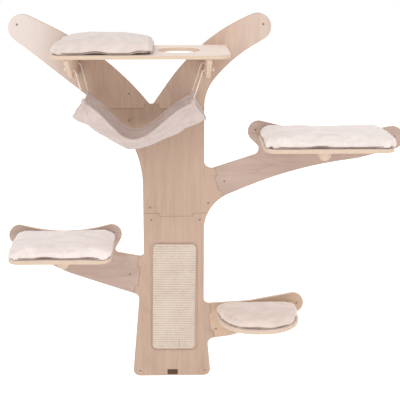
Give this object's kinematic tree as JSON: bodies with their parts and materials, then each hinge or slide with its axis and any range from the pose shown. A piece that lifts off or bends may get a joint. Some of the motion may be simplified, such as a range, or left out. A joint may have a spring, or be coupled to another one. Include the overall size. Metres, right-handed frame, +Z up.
{
  "type": "wall-mounted cat tree",
  "caption": "Flat plywood tree that hangs on a wall, with a top shelf with a round hole, cushioned perches, a rope-hung plush hammock and a sisal scratching mat.",
  "frame": {"origin": "on the wall plane, at the middle of the trunk's bottom edge", "axes": "+X to the right as seen from the room, +Y into the wall, +Z up"},
  "size_m": [1.408, 0.35, 1.35],
  "materials": {
    "birch_plywood": "matt, sanded birch-faced plywood with eased edges",
    "dowel_wood": "matt, turned birch",
    "screw_steel": "zinc-plated",
    "wall_screw_steel": "dull, dark heads",
    "staple_steel": "galvanised wire",
    "sisal": "ribbed, woven sisal",
    "brown_plate": "satin, blank",
    "cushion_plush": "short, soft plush pile",
    "hammock_plush": "short, soft plush pile",
    "cotton_rope": "twisted cotton"
  },
  "bodies": {
    "tree": {"lower_trunk_panel": "birch_plywood", "middle_trunk_panel": "birch_plywood", "upper_left_limb": "birch_plywood", "upper_right_limb": "birch_plywood", "left_branch_panel": "birch_plywood", "right_branch_panel": "birch_plywood", "low_branch_panel": "birch_plywood", "top_shelf": "birch_plywood", "right_perch_board": "birch_plywood", "left_perch_board": "birch_plywood", "low_perch_board": "birch_plywood", "left_bracket": "birch_plywood", "right_bracket": "birch_plywood", "right_perch_dowel": "dowel_wood", "left_perch_dowel": "dowel_wood", "low_perch_dowel": "dowel_wood", "wall_screws": "wall_screw_steel", "top_shelf_screws": "screw_steel", "right_perch_screws": "screw_steel", "left_perch_screws": "screw_steel", "low_perch_screws": "screw_steel", "bracket_screws": "screw_steel", "dowel_screws": "screw_steel", "bracket_pins": "dowel_wood", "scratching_mat": "sisal", "mat_staples": "staple_steel", "name_plate": "brown_plate"},
    "front_ropes": {"front_left_rope": "cotton_rope", "front_left_knot": "cotton_rope", "front_right_rope": "cotton_rope", "front_right_knot": "cotton_rope"},
    "rear_ropes": {"rear_left_rope": "cotton_rope", "rear_left_knot": "cotton_rope", "rear_right_rope": "cotton_rope", "rear_right_knot": "cotton_rope"},
    "hammock": {"hammock_sling": "hammock_plush", "hammock_cuffs": "hammock_plush"},
    "top_cushion": {"top_cushion": "cushion_plush"},
    "right_cushion": {"right_cushion": "cushion_plush"},
    "left_cushion": {"left_cushion": "cushion_plush"},
    "low_cushion": {"low_cushion": "cushion_plush"}
  },
  "joints": [
    {"name": "hammock_swing", "type": "hinge", "parent": "tree", "child": "front_ropes", "pos_m": [0, -0.207, 1.186], "axis": [-1, 0, 0], "range_deg": [-6, 25]},
    {"name": "rear_rope_swing", "type": "hinge", "parent": "tree", "child": "rear_ropes", "pos_m": [0, -0.037, 1.186], "axis": [-1, 0, 0], "range_deg": [-6, 25]},
    {"name": "sling_level", "type": "hinge", "parent": "front_ropes", "child": "hammock", "pos_m": [0, -0.207, 1.083], "axis": [-1, 0, 0], "range_deg": [-25, 6]},
    {"name": "top_cushion_lift", "type": "slide", "parent": "tree", "child": "top_cushion", "axis": [0, 0, 1], "range_m": [0, 0.1]},
    {"name": "right_cushion_lift", "type": "slide", "parent": "tree", "child": "right_cushion", "axis": [0, 0, 1], "range_m": [0, 0.1]},
    {"name": "left_cushion_lift", "type": "slide", "parent": "tree", "child": "left_cushion", "axis": [0, 0, 1], "range_m": [0, 0.1]},
    {"name": "low_cushion_lift", "type": "slide", "parent": "tree", "child": "low_cushion", "axis": [0, 0, 1], "range_m": [0, 0.1]}
  ],
  "couplings": [
    {"joint": "rear_rope_swing", "follows": "hammock_swing", "ratio": 1},
    {"joint": "sling_level", "follows": "hammock_swing", "ratio": -1}
  ]
}
